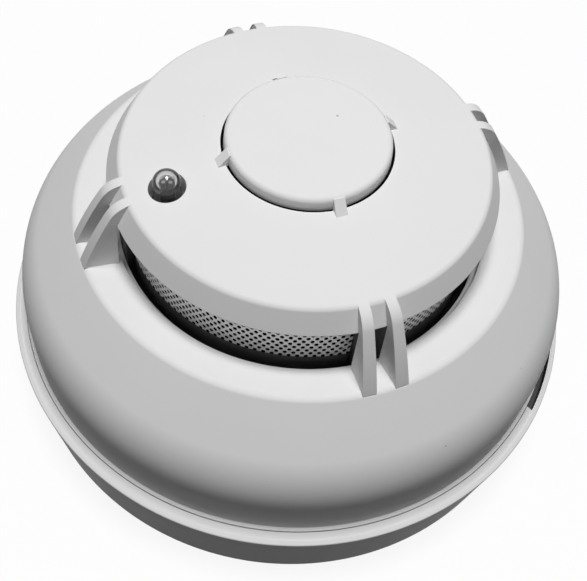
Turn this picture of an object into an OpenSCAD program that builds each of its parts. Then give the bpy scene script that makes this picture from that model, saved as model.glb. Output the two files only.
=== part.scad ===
// Round smoke detector: a twist-off detector head on a ceiling mounting base, lying on its back.
// Millimetres. The origin is the middle of the base's back face, and +Z points out of the face.

/* [Base] */
// Diameter over the rim, the widest place
rim_d = 115; // [112:1:122]
// How far the base's wall leans in, from the rim to the back face
base_lean = 1.9; // [0:0.1:3]
// Height from the back face to the edge of the rim
base_h = 16.8; // [16:0.2:22]
// Thickness of the base's floor
floor_t = 2.5; // [2:0.1:3.5]
// Width of the rim's sloping top, from its edge to the head
ledge_w = 2.3; // [1.8:0.1:3]
// Rise of the rim's sloping top, from its edge to the head
ledge_rise = 1; // [0.4:0.1:1.6]
// Depth of the shelf under the head's skirt, below the rim's edge
seat_depth = 3.8; // [3:0.1:5]
// Diameter of the cable hole in the floor
cable_d = 20; // [14:1:24]

/* [Ceiling slots] */
// Spacing of the two slots on the X axis
fixing_x = 60; // [56:1:64]
// Spacing of the two slots on the Y axis
fixing_y = 70; // [64:1:74]
// Width of a slot
fixing_w = 4.5; // [4:0.1:5.5]
// Length of a slot, end to end
fixing_len = 12; // [9:0.5:14]

/* [Release notch] */
// Middle of the notch in the rim, degrees from +X
notch_angle = 4; // [-10:1:20]
// Length of the notch along the rim, in degrees
notch_arc = 18; // [10:1:26]
// Width of the notch, from the head outwards
notch_w = 1.2; // [0.8:0.1:1.5]
// Depth of the notch below the rim's edge
notch_depth = 3; // [2:0.1:3.6]

/* [Head cover] */
// Thickness of the cover's moulded wall
wall = 2; // [1.6:0.1:2.4]
// Height of the upright skirt above the rim's edge
skirt_h = 9.6; // [7:0.1:11]
// Radius of the dome's rounding
dome_round = 15.3; // [12:0.1:17]
// Width of the dome, from the rim's edge in to the shoulder, the sharp edge on top of the dome
dome_w = 15; // [14:0.5:18]
// Height of the shoulder above the rim's edge
shoulder_rise = 28.1; // [26:0.1:31]
// Width of the lip at the foot of the skirt
lip_w = 0.5; // [0.3:0.05:0.8]

/* [Smoke inlet] */
// Width of the sloping ring inside the shoulder
ring_w = 8; // [7:0.1:9]
// Fall of the ring from the shoulder to its inner edge
ring_drop = 2.75; // [2:0.05:3.5]
// Width of the narrow step along the ring's inner edge
ring_lip = 0.7; // [0.4:0.1:1.2]
// Depth of that step
ring_step = 0.4; // [0.2:0.05:0.6]
// Height of the inlet, from the ring's inner edge to the cap
inlet_h = 12; // [10:0.5:14]
// Distance of the wire screen from the ring's inner edge
screen_in = 2; // [1.6:0.1:2.6]
// Thickness of the wire screen
screen_t = 0.4; // [0.3:0.05:0.6]

/* [Cap] */
// Reach of the cap's lower edge over the ring's inner edge
cap_over = 1.2; // [0.8:0.1:2]
// How far the cap's side leans in, from its lower to its upper edge
cap_lean = 2.2; // [1:0.1:2.6]
// Height of the cap's sloping side
cap_side_h = 4; // [3.4:0.1:5]
// Rise of the cap's face from its edge to the button
cap_rise = 2.6; // [1:0.1:3.5]
// Thickness of the cap's face and side
cap_t = 2; // [1.6:0.1:2.4]
// Rounding of the cap's upper edge
cap_edge = 1.2; // [0.6:0.1:1.8]

/* [Fins] */
// Thickness of one fin
fin_t = 2.2; // [1.6:0.1:2.6]
// Angle of a fin to the middle of its pair, in degrees
fin_spread = 4; // [3.5:0.1:6]
// Fall of a fin's upper edge where it leaves the cap, in degrees
fin_fall = 33; // [25:1:40]
// Slope of a fin's lower stretch, in degrees
fin_slope = 64.5; // [58:0.5:70]
// Rounding between a fin's two slopes
fin_round = 10; // [6:0.5:11]

/* [Test button] */
// Diameter of the test button
button_d = 29.6; // [26:0.2:32]
// Height of the button above the cap's face
button_proud = 2.2; // [1.8:0.1:3]
// Travel of the button
button_travel = 1.5; // [1:0.1:1.8]
// Height of the button's moulded cup
button_h = 4.1; // [3.6:0.1:5]
// Rounding of the button's upper edge
button_edge = 0.9; // [0.4:0.1:1.2]
// Gap between the button and the cap's face
button_gap = 0.6; // [0.5:0.1:1]
// Diameter of the button's stem
stem_d = 4.8; // [4:0.1:6]
// Diameter of the wire of the return spring
spring_wire = 0.6; // [0.4:0.05:0.8]
// Mean diameter of the return spring
spring_d = 11; // [9:0.5:14]
// Turns of the return spring
spring_turns = 4; // [3:1:5]
// Width of a rib that guides the button
rib_w = 2; // [1.6:0.1:3]
// Reach of a rib outwards from the button
rib_reach = 2.3; // [1.8:0.1:3]

/* [Indicator] */
// Diameter of the indicator lamp
led_d = 5; // [4.6:0.1:5.4]
// Diameter of the lamp's hole in the cap
led_hole_d = 6.5; // [6:0.1:7.5]
// Distance of the lamp's middle from the wire screen
led_in = 6.4; // [5.6:0.1:7]
// Place of the lamp round the cap, degrees from +X
led_angle = -131; // [-140:1:-120]
// Height of the lamp's tip above the button's top face
led_over = 0; // [-1:0.1:0.5]

/* [Detection chamber] */
// Depth of the chamber's floor below the ring's inner edge
pocket_depth = 4.65; // [3.5:0.05:6]
// Thickness of the chamber's floor
chamber_t = 2; // [1.6:0.1:2.4]
// Distance of the chamber's lid below the cap's lower edge
lid_drop = 2.95; // [2.6:0.05:3.6]
// Gap between the light trap and the indicator lamp's tube
trap_gap = 1.7; // [1:0.1:2.5]
// Number of places for vanes round the light trap
vane_count = 20; // [16:1:24]
// Thickness of a vane
vane_t = 1.2; // [0.9:0.1:1.5]
// Length of a vane
vane_len = 6; // [5:0.2:7]
// Angle between the emitter and the photodiode, in degrees
scatter_angle = 130; // [115:1:140]

/* [Head inside] */
// Thickness of the chassis plate
plate_t = 2; // [1.6:0.1:2.4]
// Height of the posts that carry the circuit board
post_h = 10.5; // [8:0.5:11]
// Thickness of the circuit board
board_t = 1.6; // [1.2:0.1:2]
// Thickness of the seal between chassis and cover
gasket_t = 1; // [0.8:0.1:1.5]
// Diameter of the cover screws' shanks
cover_screw_d = 3; // [2.6:0.1:3.4]

/* [Twist lock] */
// Number of hooks in the base, with a lug on the head for each
lock_count = 3; // [2:1:4]
// Arc of one lug of the head, in degrees
lug_arc = 14; // [10:1:15]
// Arc by which a hook is longer than a lug, in degrees
hook_more = 2; // [1:0.5:4]
// Thickness of a lug
lug_t = 2.2; // [1.8:0.1:2.6]
// Thickness of a hook
hook_t = 2; // [1.6:0.1:2.4]
// Reach of a lug beyond the collar
lug_reach = 5; // [4:0.1:6]

/* [Terminals] */
// Distance of the terminal screws from the head's collar
terminal_in = 9; // [8:0.1:10]
// Width of a contact spring
contact_w = 6; // [5:0.1:7]
// Thickness of a contact spring
contact_t = 0.5; // [0.4:0.05:0.7]
// Diameter of a terminal screw's shank
terminal_screw_d = 2.9; // [2.6:0.1:3.2]

/* [Clearances] */
// Gap between the turning head and the base
run_gap = 0.3; // [0.2:0.05:0.45]
// Gap between pieces that are pushed together by hand
fit_gap = 0.3; // [0.15:0.05:0.4]
// Radial clearance of the stem in its guide, and of screws in threads
slip = 0.08; // [0.04:0.01:0.1]

/* [Hidden] */
$fn = 120;
small_fn = 48;
// Overlap that joins two shapes of one solid
bite = 0.4;

// Radii of the base and of the head's foot
rim_r = rim_d / 2;
foot_r = rim_r - base_lean;
rim_in_r = rim_r - ledge_w;
lip_r = rim_in_r - run_gap;
skirt_r = lip_r - lip_w;
skirt_in_r = skirt_r - wall;
plate_r = skirt_in_r - fit_gap;
shelf_w = 2.2;
base_in_r = rim_in_r - shelf_w;
lug_play = 0.5;
lug_r = base_in_r - lug_play;
collar_r = lug_r - lug_reach;
collar_t = 2.5;
collar_play = 1;
hook_in_r = collar_r + collar_play;

// Radii of the cover and the cap
shoulder_r = rim_r - dome_w;
ring_r = shoulder_r - ring_w;
pocket_wall = 1.8;
cap_low_r = ring_r + cap_over;
cap_r = cap_low_r - cap_lean;
button_r = button_d / 2;
hole_r = button_r + button_gap;
well_wall = 1.6;
well_r = hole_r + well_wall;
screen_r = ring_r - screen_in;
led_r = screen_r - led_in;
flange_over = 0.4;
flange_r = led_d / 2 + flange_over;
trap_r = led_r - flange_r - trap_gap;
pillar_r = 3.5;
pillar_play = 1;
pillar_circle_r = ring_r + pocket_wall + pillar_play + pillar_r;
board_r = pillar_circle_r - pillar_r - pillar_play;
gasket_w = 1.7;

// Levels of the base and the chassis, from the back face up
rim_z = base_h;
ledge_z = rim_z + ledge_rise;
seat_z = rim_z - seat_depth;
skirt_z = seat_z + run_gap;
plate_rise = 0.2;
plate_z = skirt_z + plate_rise;
plate_top = plate_z + plate_t;
lug_lift = 2.5;
lug_z = floor_t + lug_lift;
hook_z = lug_z + lug_t + run_gap;
board_z = plate_top + post_h;
board_top = board_z + board_t;

// Levels of the cover, the chamber and the cap
dome_z = rim_z + skirt_h;
shoulder_z = rim_z + shoulder_rise;
ring_z = shoulder_z - ring_drop;
chamber_z = ring_z - pocket_depth;
chamber_under = chamber_z - chamber_t;
cap_low_z = ring_z + inlet_h;
lid_t = 1.4;
lid_top = cap_low_z - lid_drop;
lid_z = lid_top - lid_t;
chamber_h = lid_z - chamber_z;
optic_z = chamber_z + chamber_h / 2;
cap_z = cap_low_z + cap_side_h;
hole_z = cap_z + cap_rise;
button_top = hole_z + button_proud;
button_z = button_top - button_h;
well_spare = 0.4;
well_z = button_z - button_travel - well_spare;
button_top_t = 1.6;
button_under = button_top - button_top_t;
guide_t = 2;
guide_z = well_z - guide_t;
stem_z = lid_top + button_travel + run_gap;
clip_t = 0.6;
clip_gap = 0.1;
clip_z = guide_z - clip_gap - clip_t;

// Levels of the terminals
boss_h = 3.5;
boss_z = floor_t + boss_h;
insert_r = 2.6;
insert_z = floor_t + 0.5;
screw_play = 0.6;
pan_h = 1.8;
washer_t = 0.8;
washer_z = boss_z + contact_t;
screw_seat = washer_z + washer_t;
terminal_r = collar_r - collar_t - terminal_in;
arm_lift = 2;
arm_start = 7;
arm_end = 14;
blade_t = 0.6;
blade_z = boss_z + arm_lift + contact_t + run_gap;
// Where a blade's upright stands along the turn, and the width of its pin
blade_place = arm_end - 1;
blade_pin_w = 1.6;

// Screws of the board and of the cover
board_screw_d = 2.2;
board_thread = 5;
cover_thread = 8;

// Points of an arc, from angle a to angle b
function arc(centre, r, a, b, steps) =
    [for (i = [0:steps]) let (t = a + (b - a) * i / steps) centre + r * [cos(t), sin(t)]];
// Where the line through p along u meets the line through q along v
function meet(p, u, q, v) =
    p + u * ((q - p).x * v.y - (q - p).y * v.x) / (u.x * v.y - u.y * v.x);

// The dome's slope leaves its rounding at this angle and runs straight to the shoulder
dome_centre = [skirt_r - dome_round, dome_z];
shoulder = [shoulder_r, shoulder_z];
to_shoulder = shoulder - dome_centre;
dome_angle = atan2(to_shoulder.y, to_shoulder.x) - acos(dome_round / norm(to_shoulder));
slope_out = [cos(dome_angle), sin(dome_angle)];
slope_up = [-slope_out.y, slope_out.x];
ring_in = ([ring_r, ring_z] - shoulder) / norm([ring_r, ring_z] - shoulder);
ring_up = [ring_in.y, -ring_in.x];

// Height of the cap's face at a distance from the middle
function face_z(r) = cap_z + cap_rise * (cap_r - r) / (cap_r - hole_r);
cap_side = [-cap_lean, cap_side_h] / norm([cap_lean, cap_side_h]);
// Level thickness of the cap's side, and the height of the cap's underside at a distance from the middle
side_in = cap_t / cap_side.y;
function under_cap(r) =
    min(face_z(r) - cap_t, cap_low_z + (cap_low_r - side_in - r) * cap_side_h / cap_lean);
cap_face = [hole_r - cap_r, cap_rise] / norm([hole_r - cap_r, cap_rise]);
// Direction out of the cap's corner, and how far its rounding cuts it back
cap_turn = acos(cap_side * cap_face);
cap_cut = cap_edge * tan(cap_turn / 2);
cap_round_centre = [cap_r, cap_z] - cap_cut * cap_side - cap_edge * [cap_side.y, -cap_side.x];
cap_side_angle = atan2(-cap_side.x, cap_side.y);

// Places round the axis
fin_pairs = 4;
quarter = 360 / fin_pairs;
pair_angle = 45;
terminal_count = 4;
lock_angle = 90;
emitter_angle = 20;
post_angles = [20, 140, 260];
post_in = 5.5;
post_circle_r = board_r - post_in;

// Copies of the children, evenly spaced round the axis
module around(count, first = 0) {
    for (i = [0:count - 1]) rotate([0, 0, first + i * 360 / count]) children();
}

// A flat outline in radius and height, as a plate of thickness t standing on the axis
module upright(t) {
    rotate([90, 0, 0]) linear_extrude(t, center = true) children();
}

// A flat outline along the turn and in height, as a strip of width w across the radius
module strip(w) {
    rotate([90, 0, 90]) linear_extrude(w, center = true) children();
}

// A block of the ring between two radii, centred on +X
module ring_block(r_in, r_out, z, h, angle) {
    rotate([0, 0, -angle / 2]) rotate_extrude(angle = angle) translate([r_in, z]) square([r_out - r_in, h]);
}

// Floor, wall, rim, hooks with their stops, terminal bosses, ceiling slots and release notch
module mounting_base() {
    step_w = ledge_w - notch_w - 0.2;
    step = 0.2;
    step_z = rim_z + ledge_rise * step_w / ledge_w;
    boss_r = 4.5;
    stop_arc = 2.5;
    stop_turn = lug_arc / 2 + run_gap / lug_r * 180 / PI + stop_arc / 2;
    stop_in = 0.3;
    stop_h = hook_z - lug_z + hook_t / 2;
    notch_cut = notch_depth + 2 * ledge_rise;
    color("whitesmoke") difference() {
        union() {
            rotate_extrude() polygon([
                [0, 0], [foot_r, 0], [rim_r, rim_z],
                [rim_r - step_w, step_z], [rim_r - step_w, step_z - step], [rim_in_r, ledge_z - step],
                [rim_in_r, seat_z], [base_in_r, seat_z], [base_in_r, floor_t], [0, floor_t]]);
            around(lock_count, lock_angle) {
                ring_block(hook_in_r, base_in_r + bite, hook_z, hook_t, lug_arc + hook_more);
                rotate([0, 0, -stop_turn])
                    ring_block(hook_in_r + stop_in, base_in_r + 2 * bite, lug_z, stop_h, stop_arc);
            }
            around(terminal_count, pair_angle) translate([terminal_r, 0, floor_t - bite])
                cylinder(r = boss_r, h = boss_h + bite, $fn = small_fn);
        }
        translate([0, 0, -1]) cylinder(d = cable_d, h = floor_t + 2);
        for (side = [-1, 1]) {
            translate([side * fixing_x / 2, 0, -1]) ceiling_slot();
            translate([0, side * fixing_y / 2, -1]) rotate([0, 0, 90]) ceiling_slot();
        }
        around(terminal_count, pair_angle)
            translate([terminal_r, 0, insert_z]) cylinder(r = insert_r, h = boss_h, $fn = small_fn);
        rotate([0, 0, notch_angle])
            ring_block(base_in_r, rim_in_r + notch_w, rim_z - notch_depth, notch_cut, notch_arc);
    }
}

// A slot for a ceiling screw, long way along X
module ceiling_slot() {
    reach = (fixing_len - fixing_w) / 2;
    for (side = [-1, 1])
        translate([side * reach, 0, 0]) cylinder(d = fixing_w, h = floor_t + 2, $fn = small_fn);
    translate([-reach, -fixing_w / 2, 0]) cube([2 * reach, fixing_w, floor_t + 2]);
}

// Threaded brass bushes in the terminal bosses
module terminal_inserts() {
    color("goldenrod") around(terminal_count, pair_angle) translate([terminal_r, 0, insert_z])
        difference() {
            cylinder(r = insert_r - slip, h = boss_z - insert_z, $fn = small_fn);
            translate([0, 0, -1]) cylinder(d = terminal_screw_d + 2 * slip, h = boss_h + 2, $fn = small_fn);
        }
}

// Sprung strips that the head's blades slide over
module contact_springs() {
    tail = 4;
    bend = 0.2;
    color("goldenrod") around(terminal_count, pair_angle) translate([terminal_r, 0, boss_z]) difference() {
        strip(contact_w) polygon([
            [-tail, 0], [tail, 0], [arm_start, arm_lift], [arm_end, arm_lift],
            [arm_end, arm_lift + contact_t], [arm_start - bend, arm_lift + contact_t],
            [tail - bend, contact_t], [-tail, contact_t]]);
        translate([0, 0, -1]) cylinder(d = terminal_screw_d + screw_play, h = contact_t + 2, $fn = small_fn);
    }
}

// Square washers that clamp the wires
module clamp_washers() {
    side = 7.4;
    color("silver") around(terminal_count, pair_angle) translate([terminal_r, 0, washer_z]) difference() {
        translate([-side / 2, -side / 2, 0]) cube([side, side, washer_t]);
        translate([0, 0, -1]) cylinder(d = terminal_screw_d + screw_play, h = washer_t + 2, $fn = small_fn);
    }
}

// A slotted pan-head screw: the head sits on z = 0 and the shank hangs below it
module screw(shank_d, shank_len, head_d, head_h) {
    slot_w = 0.2 * head_d;
    difference() {
        union() {
            cylinder(d = head_d, h = head_h, $fn = small_fn);
            translate([0, 0, -shank_len]) cylinder(d = shank_d, h = shank_len + bite, $fn = small_fn);
        }
        translate([-head_d, -slot_w / 2, head_h / 2]) cube([2 * head_d, slot_w, head_h]);
    }
}

// Screws that hold the wires under the washers
module terminal_screws() {
    color("silver") around(terminal_count, pair_angle) translate([terminal_r, 0, screw_seat])
        screw(terminal_screw_d, screw_seat - insert_z - bite, 2 * terminal_screw_d, pan_h);
}

// Plate that closes the head, with the collar and lugs of the twist lock and the board's posts
module rear_chassis() {
    post_r = 3;
    pilot_depth = board_thread + pan_h / 2;
    color("gainsboro") difference() {
        union() {
            translate([0, 0, plate_z]) cylinder(r = plate_r, h = plate_t);
            rotate_extrude() translate([collar_r - collar_t, lug_z])
                square([collar_t, plate_z - lug_z + bite]);
            around(lock_count, lock_angle) ring_block(collar_r - bite, lug_r, lug_z, lug_t, lug_arc);
            for (a = post_angles) rotate([0, 0, a]) translate([post_circle_r, 0, plate_top - bite])
                cylinder(r = post_r, h = post_h + bite, $fn = small_fn);
        }
        around(4) translate([pillar_circle_r, 0, plate_z - 1])
            cylinder(d = cover_screw_d + screw_play, h = plate_t + 2, $fn = small_fn);
        for (a = post_angles) rotate([0, 0, a]) translate([post_circle_r, 0, board_z - pilot_depth])
            cylinder(d = board_screw_d + 2 * slip, h = pilot_depth + 1, $fn = small_fn);
        around(terminal_count, pair_angle) translate([terminal_r, blade_place, plate_z - 1])
            translate([-blade_pin_w / 2 - fit_gap, -blade_t - fit_gap, 0])
                cube([blade_pin_w + 2 * fit_gap, blade_t + 2 * fit_gap, plate_t + 2]);
    }
}

// Angled blades under the chassis that meet the base's contact springs, with pins up to the board
module contact_blades() {
    foot = 5;
    color("goldenrod") around(terminal_count, pair_angle) translate([terminal_r, blade_place, 0]) {
        strip(contact_w - 1) polygon([
            [-foot, blade_z], [0, blade_z], [0, plate_z], [-blade_t, plate_z], [-blade_t, blade_z + blade_t],
            [-foot, blade_z + blade_t]]);
        translate([-blade_pin_w / 2, -blade_t, plate_z - bite])
            cube([blade_pin_w, blade_t, board_z - plate_z + bite]);
    }
}

// Flat seal between the chassis plate and the cover
module cover_gasket() {
    color("dimgray") rotate_extrude()
        translate([plate_r - gasket_w, plate_top]) square([gasket_w, gasket_t]);
}

// Screws that hold the chassis to the cover's pillars
module cover_screws() {
    color("silver") around(4) translate([pillar_circle_r, 0, plate_z]) mirror([0, 0, 1])
        screw(cover_screw_d, plate_t + cover_thread, 1.9 * cover_screw_d, pan_h);
}

// Round board on the chassis posts
module circuit_board() {
    color("darkgreen") difference() {
        translate([0, 0, board_z]) cylinder(r = board_r, h = board_t);
        for (a = post_angles) rotate([0, 0, a]) translate([post_circle_r, 0, board_z - 1])
            cylinder(d = board_screw_d + screw_play, h = board_t + 2, $fn = small_fn);
    }
}

// Screws that hold the board on its posts
module board_screws() {
    color("silver") for (a = post_angles) rotate([0, 0, a]) translate([post_circle_r, 0, board_top])
        screw(board_screw_d, board_t + board_thread, 2 * board_screw_d, pan_h);
}

// A block on the board at an angle and a distance from the middle
module on_board(angle, r, size) {
    rotate([0, 0, angle]) translate([r - size.x / 2, -size.y / 2, board_top]) cube(size);
}

// Where the parts between the chamber's pedestal and the board's edge stand
pedestal_out = 2.5;
pedestal_r = trap_r + pedestal_out;
parts_r = (pedestal_r + board_r) / 2;

// Chip that times the lamp and judges the signal, with its two rows of legs
module control_chip() {
    angle = 95;
    legs = 8;
    pitch = 1.27;
    body = [4, 10.4, 1.7];
    leg = [1.8, 0.4, 0.6];
    color("black") on_board(angle, parts_r, body);
    color("silver") for (i = [0:legs - 1], side = [-1, 1])
        rotate([0, 0, angle])
            translate([parts_r + side * (body.x + leg.x - bite) / 2, (i - (legs - 1) / 2) * pitch, board_top])
                translate([-leg.x / 2, -leg.y / 2, 0]) cube(leg);
}

// Round can capacitors
module capacitors() {
    can_d = 6.3;
    can_h = 5.4;
    color("lightgray") for (a = [298, 330]) rotate([0, 0, a]) translate([parts_r, 0, board_top])
        cylinder(d = can_d, h = can_h, $fn = small_fn);
}

// A row of chip resistors
module resistors() {
    chip_len = 3.2;
    chip_w = 1.6;
    chip_h = 0.6;
    color("black") for (a = [34:6:76]) on_board(a, parts_r + chip_w, [chip_len, chip_w, chip_h]);
}

// Tinned screen over the photodiode's amplifier
module amplifier_shield() {
    angle = 190;
    shield_len = 9;
    shield_w = 12;
    shield_h = 4.5;
    skin = 0.4;
    color("silver") difference() {
        on_board(angle, parts_r, [shield_len, shield_w, shield_h]);
        translate([0, 0, -skin])
            on_board(angle, parts_r, [shield_len - 2 * skin, shield_w - 2 * skin, shield_h]);
    }
}

// Sizes that the optical holders, the lamps and the vanes share
optic_d = 5;
lamp_len = 5;
flange_t = 1;
holder_len = 8;
holder_in = 2.5;
holder_out_r = trap_r - holder_in;
holder_in_r = holder_out_r - holder_len;
holder_w = 8.4;
leg = 0.5;
leg_pitch = 2.54;
lead_r = holder_out_r + flange_t + flange_over;
lead_hole_r = 1.9;
optic_angles = [emitter_angle, emitter_angle + scatter_angle];
// Slant of a vane to the radius, and the turn each side of a holder that stays free of vanes
vane_slant = 42;
holder_room = 30;
pin_r = 0.6;
pin_depth = 4;

// Black floor of the chamber on its pedestal, with holders for emitter and photodiode
module chamber_floor() {
    holder_h = chamber_h - 1;
    pedestal_t = 2;
    color("black") difference() {
        union() {
            translate([0, 0, chamber_under]) cylinder(r = ring_r - fit_gap, h = chamber_t);
            rotate_extrude() translate([pedestal_r - pedestal_t, board_top])
                square([pedestal_t, chamber_under - board_top + bite]);
            for (a = optic_angles) rotate([0, 0, a])
                translate([holder_in_r, -holder_w / 2, chamber_z - bite])
                    cube([holder_out_r - holder_in_r, holder_w, holder_h + bite]);
        }
        for (a = optic_angles) rotate([0, 0, a]) {
            translate([holder_in_r - 1, 0, optic_z]) rotate([0, 90, 0])
                cylinder(d = optic_d + 2 * slip, h = holder_out_r - holder_in_r + 2, $fn = small_fn);
            translate([lead_r, 0, chamber_under - 1])
                cylinder(r = lead_hole_r, h = chamber_t + 2, $fn = small_fn);
        }
        rotate([0, 0, led_angle]) translate([led_r, 0, chamber_under - 1])
            cylinder(r = lead_hole_r, h = chamber_t + 2, $fn = small_fn);
    }
}

// Two wire legs, side by side, between two heights
module wire_legs(low, high) {
    for (side = [-1, 1])
        translate([-leg / 2, (side * leg_pitch - leg) / 2, low]) cube([leg, leg, high - low]);
}

// A lamp lying in its holder, nose to the middle, with its legs bent down to the board
module lying_lamp(angle, nose) {
    bend_in = holder_out_r + flange_t / 2;
    rotate([0, 0, angle]) {
        translate([holder_out_r - lamp_len, 0, optic_z]) rotate([0, 90, 0])
            cylinder(d = optic_d, h = lamp_len + flange_t / 2, $fn = small_fn);
        translate([holder_out_r, 0, optic_z]) rotate([0, 90, 0])
            cylinder(d = optic_d + 2 * flange_over, h = flange_t, $fn = small_fn);
        if (nose) translate([holder_out_r - lamp_len, 0, optic_z]) sphere(d = optic_d, $fn = small_fn);
        translate([lead_r, 0, 0]) wire_legs(board_top, optic_z + leg / 2);
        for (side = [-1, 1]) translate([bend_in, (side * leg_pitch - leg) / 2, optic_z - leg / 2])
            cube([lead_r - bend_in, leg, leg]);
    }
}

// Infrared lamp
module infrared_emitter() {
    color("midnightblue") lying_lamp(optic_angles[0], true);
}

// Photodiode, flat in front
module photodiode() {
    color("black") lying_lamp(optic_angles[1], false);
}

// How far an angle lies from the nearest optical holder
function off_holders(a) = min([for (h = optic_angles) abs(((a - h + 540) % 360) - 180)]);

// Lid of the light trap, with slanted vanes that let smoke in and keep light out
module chamber_lid() {
    vane_r = trap_r - vane_len * cos(vane_slant) / 2 - fit_gap;
    color("black") {
        translate([0, 0, lid_z]) difference() {
            cylinder(r = trap_r, h = lid_t);
            translate([0, 0, -1]) cylinder(r = pin_r + 2 * run_gap, h = lid_t + 2, $fn = small_fn);
        }
        for (i = [0:vane_count - 1]) let (a = i * 360 / vane_count)
            if (off_holders(a) > holder_room)
                rotate([0, 0, a]) translate([vane_r, 0, chamber_z]) rotate([0, 0, vane_slant])
                    translate([-vane_len / 2, -vane_t / 2, 0]) cube([vane_len, vane_t, chamber_h + bite]);
    }
}

// Round wire screen between the chamber's floor and the cap
module insect_screen() {
    top = under_cap(screen_r) - slip;
    color("darkgray") rotate_extrude() translate([screen_r - screen_t, chamber_z])
        square([screen_t, top - chamber_z]);
}

// Height where the indicator lamp's round nose begins, and the underside of its flange
nose_z = button_top + led_over - led_d / 2;
led_len = 7;
flange_z = nose_z - led_len;

// Tube that holds the indicator lamp at the cap
module led_spacer() {
    color("black") rotate([0, 0, led_angle]) translate([led_r, 0, chamber_z]) difference() {
        cylinder(r = flange_r, h = flange_z - chamber_z, $fn = small_fn);
        translate([0, 0, -1]) cylinder(r = lead_hole_r, h = flange_z - chamber_z + 2, $fn = small_fn);
    }
}

// Clear indicator lamp that looks out of the cap
module indicator_led() {
    color("gainsboro") rotate([0, 0, led_angle]) translate([led_r, 0, 0]) {
        translate([0, 0, flange_z]) cylinder(r = flange_r, h = flange_t, $fn = small_fn);
        translate([0, 0, flange_z + flange_t / 2])
            cylinder(d = led_d, h = led_len - flange_t / 2, $fn = small_fn);
        translate([0, 0, nose_z]) sphere(d = led_d, $fn = small_fn);
        wire_legs(board_top, flange_z + bite);
    }
}

// Section of the head under its outer surface, drawn in by an inset, without the middle
module head_section(inset) {
    corner = meet(shoulder - inset * slope_out, slope_up, shoulder - inset * ring_up, ring_in);
    ring_end = meet(shoulder - inset * ring_up, ring_in, [0, 0], [0, 1]);
    leave = dome_centre + (dome_round - inset) * slope_out;
    translate([0, skirt_z - 1]) square([skirt_r - inset, dome_z - skirt_z + 1]);
    intersection() {
        translate(dome_centre) circle(r = dome_round - inset);
        translate([dome_centre.x, dome_z]) square(dome_round);
    }
    polygon([[0, dome_z - bite], [dome_centre.x, dome_z - bite], dome_centre, leave, corner, ring_end]);
}

// Section of the cap, with the well and guide of the button
module cap_section() {
    inner = meet([cap_low_r - side_in, cap_low_z], cap_side, [cap_r, cap_z - cap_t], cap_face);
    stem_bore_r = stem_d / 2 + slip;
    polygon(concat(
        [[hole_r, hole_z]],
        arc(cap_round_centre, cap_edge, cap_side_angle + cap_turn, cap_side_angle, 8),
        [[cap_low_r, cap_low_z], [cap_low_r - side_in, cap_low_z], inner,
         [well_r, face_z(well_r) - cap_t], [well_r, guide_z], [stem_bore_r, guide_z], [stem_bore_r, well_z],
         [hole_r, well_z]]));
}

// How far a fin's outer end stays inside the shoulder
fin_inset = 0.2;

// One fin, from the cap's edge over the inlet to the shoulder
module fin() {
    start = [cap_r - cap_edge / 2, face_z(cap_r - cap_edge / 2)];
    outer_r = shoulder_r - fin_inset;
    fall = [cos(fin_fall), -sin(fin_fall)];
    slope = [cos(fin_slope), -sin(fin_slope)];
    knee = meet(start, fall, shoulder, slope);
    bend = (fin_slope - fin_fall) / 2;
    centre = knee - fin_round / cos(bend) * [sin(fin_fall + bend), cos(fin_fall + bend)];
    foot = meet(shoulder, slope, [outer_r, 0], [0, 1]);
    upright(fin_t) polygon(concat(
        [start],
        arc(centre, fin_round, 90 - fin_fall, 90 - fin_slope, 10),
        [foot, [outer_r, shoulder_z - wall / 2], [ring_r + bite, ring_z - wall / 2],
         [ring_r + bite, cap_low_z + bite], [start.x, cap_z - cap_t / 2]]));
}

// One rib that guides the button, with its sloping top
module guide_rib() {
    near = button_r + run_gap;
    far = button_r + rib_reach;
    rib_end = 0.2;
    upright(rib_w) polygon([
        [near, hole_z - cap_t], [near, button_top - button_edge / 2], [far, face_z(far) + rib_end],
        [far, face_z(far) - cap_t / 2], [hole_r + bite, hole_z - cap_t]]);
}

// White moulded cover: skirt, dome, ring, fins, cap, button well and screw pillars
module outer_cover() {
    rib_h = 1.5;
    lip_z = ring_z + ring_drop * ring_lip / (shoulder_r - ring_r) - ring_step;
    color("whitesmoke") difference() {
        union() {
            rotate_extrude() difference() {
                union() {
                    head_section(0);
                    translate([0, skirt_z]) square([lip_r, ledge_z - skirt_z]);
                }
                head_section(wall);
                translate([0, -1]) square([ring_r, shoulder_z + 2]);
                translate([0, lip_z]) square([ring_r + ring_lip, shoulder_z]);
                translate([0, -1]) square([rim_r, skirt_z + 1]);
            }
            rotate_extrude() translate([ring_r, chamber_under])
                square([pocket_wall, lip_z - wall / 4 - chamber_under]);
            rotate_extrude() translate([plate_r - gasket_w, plate_top + gasket_t])
                square([gasket_w + fit_gap + wall / 2, rib_h]);
            rotate_extrude() cap_section();
            around(fin_pairs, pair_angle) {
                for (side = [-1, 1]) rotate([0, 0, side * fin_spread]) fin();
                guide_rib();
            }
            intersection() {
                around(4) translate([pillar_circle_r, 0, plate_top])
                    cylinder(r = pillar_r, h = shoulder_z - plate_top, $fn = small_fn);
                rotate_extrude() head_section(wall / 2);
            }
        }
        around(4) translate([pillar_circle_r, 0, plate_top - 1])
            cylinder(d = cover_screw_d + 2 * slip, h = 1 + cover_thread + pan_h / 2, $fn = small_fn);
        rotate([0, 0, led_angle]) translate([led_r, 0, cap_low_z])
            cylinder(d = led_hole_d, h = button_top - cap_low_z, $fn = small_fn);
    }
}

// Radius of the stem inside the groove for the retaining ring
groove_r = stem_d / 2 - 0.7;

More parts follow.
